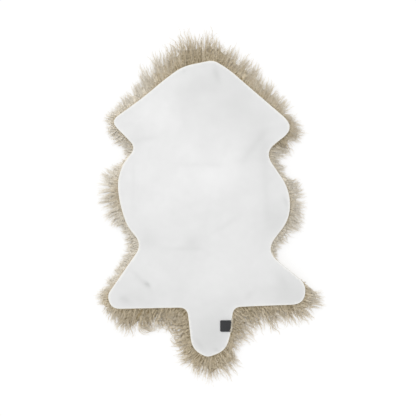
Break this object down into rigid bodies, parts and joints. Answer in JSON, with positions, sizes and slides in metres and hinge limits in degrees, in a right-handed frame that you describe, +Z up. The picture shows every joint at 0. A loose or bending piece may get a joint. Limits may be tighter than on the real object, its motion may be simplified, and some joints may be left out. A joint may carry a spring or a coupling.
{
  "type": "sheepskin rug",
  "caption": "Long-wool sheepskin rug in its natural outline, lying wool side down with the tanned skin up and a wool fringe all round.",
  "frame": {"origin": "on the floor, under the middle of the whole rug with its wool", "axes": "+Z up, out of the skin side; +Y along the animal towards its neck; X across it"},
  "size_m": [0.6348, 0.947, 0.0353],
  "materials": {
    "wool": "long matt greige wool, paler at the tips",
    "tanned_skin": "matt off-white flesh side",
    "woven_tape": "matt charcoal woven tape, plain"
  },
  "bodies": {
    "root": {"fleece": "wool", "hide": "tanned_skin", "label": "woven_tape"}
  },
  "joints": []
}
